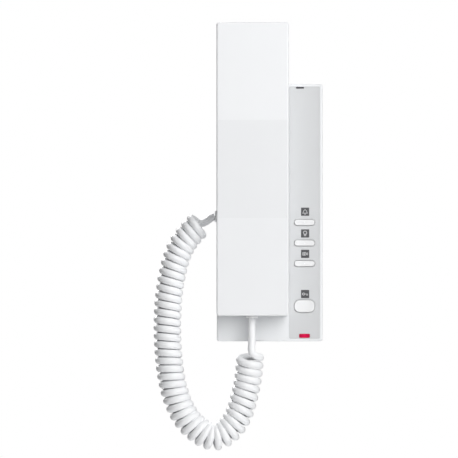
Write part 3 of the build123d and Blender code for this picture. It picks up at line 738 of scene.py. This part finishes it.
def curl_controls(cord):
    """Points of the left-handed helix round the axis, from the handset's side to the base's."""
    axis = Line(points_of([Vector(point) * MM for point in CURL_AXIS], AXIS_RESOLUTION))
    pitch = cord.diameter + cord.curl_gap
    places = curl_places(axis, cord, pitch)
    first = round(cord.first_share * cord.steps)
    last = round(cord.last_share * cord.steps)
    turns = (len(places) - 1 - first - last) // cord.steps
    end = first + turns * cord.steps + last
    stretch = axis.length / places[end]
    side = Vector((1.0, 0.0, 0.0))
    controls = []
    for i in range(end + 1):
        place = places[i] * stretch
        along = axis.direction(place, pitch * DIRECTION_REACH)
        side = square_to(along, side)
        angle = -2 * math.pi * (i - first) / cord.steps
        controls.append(axis.at(place) + turned_about(along, side, angle) * cord.curl_radius)
    return controls


def tube_vertices(points, radius, sides):
    """Rings of vertices round a line, one round each of its points."""
    tangents = []
    for i in range(len(points)):
        before = points[max(i - 1, 0)]
        after = points[min(i + 1, len(points) - 1)]
        tangents.append((after - before).normalized())
    side = tangents[0].orthogonal().normalized()
    vertices = []
    for here, along in zip(points, tangents):
        side = square_to(along, side)
        for k in range(sides):
            angle = 2 * math.pi * k / sides
            vertices.append(here + turned_about(along, side, angle) * radius)
    return vertices


def tube_faces(rings, sides):
    """The faces between the rings of a tube, and one at each end."""
    faces = []
    for i in range(rings - 1):
        for k in range(sides):
            n = (k + 1) % sides
            faces.append((i * sides + k, i * sides + n, (i + 1) * sides + n, (i + 1) * sides + k))
    last = (rings - 1) * sides
    faces.append(tuple(reversed(range(sides))))
    faces.append(tuple(last + k for k in range(sides)))
    return faces


def map_tube(mesh, points, sides):
    """The UV map of a tube: from 0 to 1 round it, and metres along it."""
    lengths = Line(points).lengths
    uv = mesh.uv_layers.new(name="along")
    for face in mesh.polygons:
        columns = [mesh.loops[loop].vertex_index % sides for loop in face.loop_indices]
        on_seam = 0 in columns and sides - 1 in columns
        for loop, column in zip(face.loop_indices, columns):
            ring = mesh.loops[loop].vertex_index // sides
            u = 1.0 if on_seam and column == 0 else column / sides
            uv.data[loop].uv = (u, lengths[ring])


def tube(name, points, radius, sides):
    """A closed round tube along a line, smooth but for its two end faces."""
    mesh = bpy.data.meshes.new(name)
    mesh.from_pydata(tube_vertices(points, radius, sides), [], tube_faces(len(points), sides))
    map_tube(mesh, points, sides)
    for face in mesh.polygons:
        face.use_smooth = len(face.vertices) == 4
    piece = bpy.data.objects.new(name, mesh)
    bpy.context.scene.collection.objects.link(piece)
    return piece


# Pieces

class INTERCOM_OT_finishes(bpy.types.Operator):
    """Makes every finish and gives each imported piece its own"""
    bl_idname = "intercom.finishes"
    bl_label = "Finishes"

    def execute(self, context):
        made = finishes()
        for part in frame["record"]["subparts"]:
            node = frame["nodes"][part["node"]]
            node.data.materials.clear()
            node.data.materials.append(made[part["material_slot"]])
        return {"FINISHED"}


class INTERCOM_OT_curly_cord(bpy.types.Operator):
    """Makes the whole cord as one tube: straight under the handset, curled, and into the base"""
    bl_idname = "intercom.curly_cord"
    bl_label = "Curly cord"

    def execute(self, context):
        cord = settings("intercom_cord")
        handset_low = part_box("handset_cord_bush")[0]
        base_low, base_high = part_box("base_cord_bush")
        handset_run = [Vector(point) * MM for point in HANDSET_RUN]
        base_run = [Vector(point) * MM for point in BASE_RUN]
        start = handset_run[0]
        handset_exit = Vector((start.x, start.y, handset_low.z))
        base_exit = Vector((base_low.x, base_run[-1].y, (base_low.z + base_high.z) / 2))
        middle = (handset_exit + start) / 2
        controls = [handset_exit, middle, *handset_run, *curl_controls(cord), *base_run, base_exit]
        points = points_of(controls, CORD_RESOLUTION)
        piece = tube("curly_cord", points, cord.diameter / 2, cord.sides)
        piece.data.materials.append(material_named("cord_jacket"))
        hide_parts("cord_handset_tail", "cord_curls", "cord_base_tail")
        Line(points).length
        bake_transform(piece)
        return {"FINISHED"}


def key_cap_height(key):
    """The height of a key's cap, which is what stands in front of its flange."""
    depths = [vertex.co.y for vertex in frame["nodes"][key].data.vertices]
    cap = [vertex.co.z for vertex in frame["nodes"][key].data.vertices
           if vertex.co.y < min(depths) + CAP_DEPTH]
    return max(cap) - min(cap)


def draw_pictogram(key, middle, tile):
    """The raised lines of one pictogram, as one mesh round the middle of its tile's front."""
    drawing = PICTOGRAM_SHARES[key]
    half = tile.size / 2

    def at(share):
        return Vector((middle.x + share[0] * half, middle.y, middle.z + share[1] * half))

    parts = []
    for first, second in drawing["strokes"]:
        start, end = at(first), at(second)
        run = end - start
        turn = -math.atan2(run.z, run.x)
        line = block((start + end) / 2, (run.length + tile.stroke, 2 * tile.relief, tile.stroke), turn)
        round_off(line, tile.relief * LINE_EDGE_SHARE)
        parts.append(line)
    for centre, radius in drawing["rings"]:
        parts.append(flat_ring(at(centre), radius * half, tile.stroke, tile.relief))
    return join(parts, f"pictogram_{drawing['name']}")


class INTERCOM_OT_tiles(bpy.types.Operator):
    """Makes the dark tiles above the keys and the plain pictograms on them"""
    bl_idname = "intercom.tiles"
    bl_label = "Pictogram tiles"

    def execute(self, context):
        tile = settings("intercom_tiles")
        strip_low, strip_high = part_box("key_strip")
        x = (strip_low.x + strip_high.x) / 2 + tile.shift
        for number, (key, gap) in enumerate(TILE_GAPS.items(), start=1):
            key_low, key_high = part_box(key)
            flange = (key_high.z - key_low.z - key_cap_height(key)) / 2
            z = key_high.z - flange + gap * MM + tile.size / 2
            plate = block((x, strip_low.y, z), (tile.size, 2 * tile.proud, tile.size))
            round_corners(plate, tile.corner)
            rename(plate, f"pictogram_tile_{number}")
            dress(plate, "pictogram_tile", "base")
            drawing = draw_pictogram(key, Vector((x, strip_low.y - tile.proud, z)), tile)
            dress(drawing, "pictogram_line", "base")
        return {"FINISHED"}


class INTERCOM_OT_touch_dots(bpy.types.Operator):
    """Makes the small raised dot in the middle of each call key"""
    bl_idname = "intercom.touch_dots"
    bl_label = "Touch dots"

    def execute(self, context):
        tile = settings("intercom_tiles")
        for key in CALL_KEYS:
            low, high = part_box(key)
            centre = Vector(((low.x + high.x) / 2, low.y, (low.z + high.z) / 2))
            deselect()
            bpy.ops.mesh.primitive_uv_sphere_add(segments=DOT_SEGMENTS, ring_count=DOT_RINGS,
                                                 radius=tile.dot_radius, location=centre,
                                                 rotation=(math.pi / 2, 0.0, 0.0))
            dot = bpy.context.active_object
            settle(dot)
            bpy.ops.object.mode_set(mode="EDIT")
            bpy.ops.mesh.select_all(action="SELECT")
            bpy.ops.mesh.bisect(plane_co=centre + Vector((0.0, tile.dot_radius * DOT_SUNK_SHARE, 0.0)),
                                plane_no=(0.0, 1.0, 0.0), use_fill=True, clear_outer=True)
            bpy.ops.object.mode_set(mode="OBJECT")
            flatten(dot, centre.y, tile.dot_height / tile.dot_radius)
            rename(dot, key.replace("call_button", "touch_dot"))
            dress(dot, "white_keys", key)
        return {"FINISHED"}


class INTERCOM_OT_notch_shade_latch(bpy.types.Operator):
    """Makes the dark latch that holds the key strip, which shows in the strip's notch: partly a real clip,
    and dark as painted shade of the hollow behind the notch
    """
    bl_idname = "intercom.strip_latch"
    bl_label = "Strip latch"

    def execute(self, context):
        latch = settings("intercom_latch")
        low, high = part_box("key_strip")
        x = (low.x + high.x) / 2 - NOTCH_LEFT * MM
        width = NOTCH_SIZE[0] * MM - 2 * latch.clearance
        height = NOTCH_SIZE[1] * MM - 2 * latch.clearance
        z = high.z - NOTCH_SIZE[1] * MM / 2
        front = low.y + latch.recess
        step = front + latch.lip
        tongue = block((x, (step + high.y) / 2, z), (width, high.y - step, height))
        lip = block((x, step, z - height / 4), (width, 2 * latch.lip, height / 2))
        for part in (tongue, lip):
            round_off(part, latch.clearance)
        piece = join([tongue, lip], "strip_latch")
        # Painted shade: the latch is black, so that the notch shows as dark as its hollow in shade
        dress(piece, "black_parts", "base")
        return {"FINISHED"}


# Studio

def soft_light(name, place, target, side, power):
    """A square light that faces a point and that no camera sees."""
    lamp = bpy.data.lights.new(name, "AREA")
    lamp.shape = "SQUARE"
    lamp.size = side
    lamp.energy = power
    light = bpy.data.objects.new(name, lamp)
    light.location = place
    light.visible_camera = False
    light.rotation_euler = (Vector(target) - Vector(place)).to_track_quat("-Z", "Y").to_euler()
    bpy.context.scene.collection.objects.link(light)


def floor_paint(name, tint):
    """Pale paint that looks evenly lit from every side, and throws no extra light on the object."""
    finish = Finish(name)
    shade = finish.mix(finish.noise(2 * MM), darker(tint, 0.97), tint)
    lit = finish.node("ShaderNodeBsdfPrincipled", {"Base Color": shade, "Roughness": 0.7})
    even = finish.node("ShaderNodeEmission", {"Color": opaque(tint), "Strength": FLOOR_GLOW})
    return finish.finished(finish.mix_shaders(finish.seen_directly() * FLOOR_EVENNESS, lit, even))


def white_surroundings(strength):
    """White on every side: full white behind the object, and softer as light on it."""
    world = bpy.data.worlds.new("surroundings")
    bpy.context.scene.world = world
    world.use_nodes = True
    nodes = Nodes(world.node_tree)
    received = nodes.node("ShaderNodeBackground", {"Color": opaque(WHITE), "Strength": strength})
    seen = nodes.node("ShaderNodeBackground", {"Color": opaque(WHITE)})
    nodes.end(nodes.mix_shaders(nodes.seen_directly(), received, seen), "ShaderNodeOutputWorld")


def front_camera(stage, depth):
    """The camera of the photo: level, straight in front, and far off."""
    lens = bpy.data.cameras.new("camera")
    lens.sensor_width = SENSOR_WIDTH
    lens.lens = lens.sensor_width * stage.distance / stage.view_width
    camera = bpy.data.objects.new("camera", lens)
    camera.location = (stage.view_x, depth - stage.distance, stage.view_z)
    camera.rotation_euler = (math.pi / 2, 0.0, 0.0)
    bpy.context.scene.collection.objects.link(camera)
    bpy.context.scene.camera = camera


class INTERCOM_OT_stage(bpy.types.Operator):
    """Sets up the pale floor, the soft lights, the white surroundings and the camera"""
    bl_idname = "intercom.stage"
    bl_label = "Stage"

    def execute(self, context):
        stage = settings("intercom_stage")
        low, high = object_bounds()
        middle = (low + high) / 2
        deselect()
        bpy.ops.mesh.primitive_grid_add(x_subdivisions=FLOOR_SQUARES, y_subdivisions=FLOOR_SQUARES,
                                        size=FLOOR_SIDE,
                                        location=(middle.x, 0.0, low.z - stage.floor_drop))
        floor = bpy.context.active_object
        floor.name = "floor"
        settle(floor)
        floor.data.materials.append(floor_paint("pale_floor", FLOOR_TINT))
        floor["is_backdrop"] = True
        for name, (place, side) in LIGHTS.items():
            soft_light(name, place, middle, side, getattr(stage, name))
        white_surroundings(stage.surround)
        front_camera(stage, middle.y)
        context.scene.view_settings.view_transform = "Standard"
        return {"FINISHED"}


STEPS = (INTERCOM_OT_finishes, INTERCOM_OT_curly_cord, INTERCOM_OT_tiles, INTERCOM_OT_touch_dots,
         INTERCOM_OT_notch_shade_latch, INTERCOM_OT_stage)
GROUPS = {"intercom_cord": CordSettings, "intercom_tiles": TileSettings, "intercom_latch": LatchSettings,
          "intercom_finish": FinishSettings, "intercom_stage": StageSettings}


class INTERCOM_PT_panel(bpy.types.Panel):
    """Lists the steps that make the intercom, with the sizes and colours that they use"""
    bl_label = "Intercom"
    bl_space_type = "VIEW_3D"
    bl_region_type = "UI"
    bl_category = "Intercom"

    def draw(self, context):
        for step in STEPS:
            self.layout.operator(step.bl_idname)
        for group in GROUPS:
            held = settings(group)
            for name in held.__annotations__:
                self.layout.prop(held, name)


def register():
    for name, group in GROUPS.items():
        bpy.utils.register_class(group)
        setattr(bpy.types.Scene, name, bpy.props.PointerProperty(type=group))
    for made in (*STEPS, INTERCOM_PT_panel):
        bpy.utils.register_class(made)


def unregister():
    for made in reversed((*STEPS, INTERCOM_PT_panel)):
        bpy.utils.unregister_class(made)
    for name, group in GROUPS.items():
        delattr(bpy.types.Scene, name)
        bpy.utils.unregister_class(group)


def main():
    register()
    bpy.ops.intercom.finishes()
    bpy.ops.intercom.curly_cord()
    bpy.ops.intercom.tiles()
    bpy.ops.intercom.touch_dots()
    bpy.ops.intercom.strip_latch()
    bpy.ops.intercom.stage()


if __name__ == "__main__":
    main()
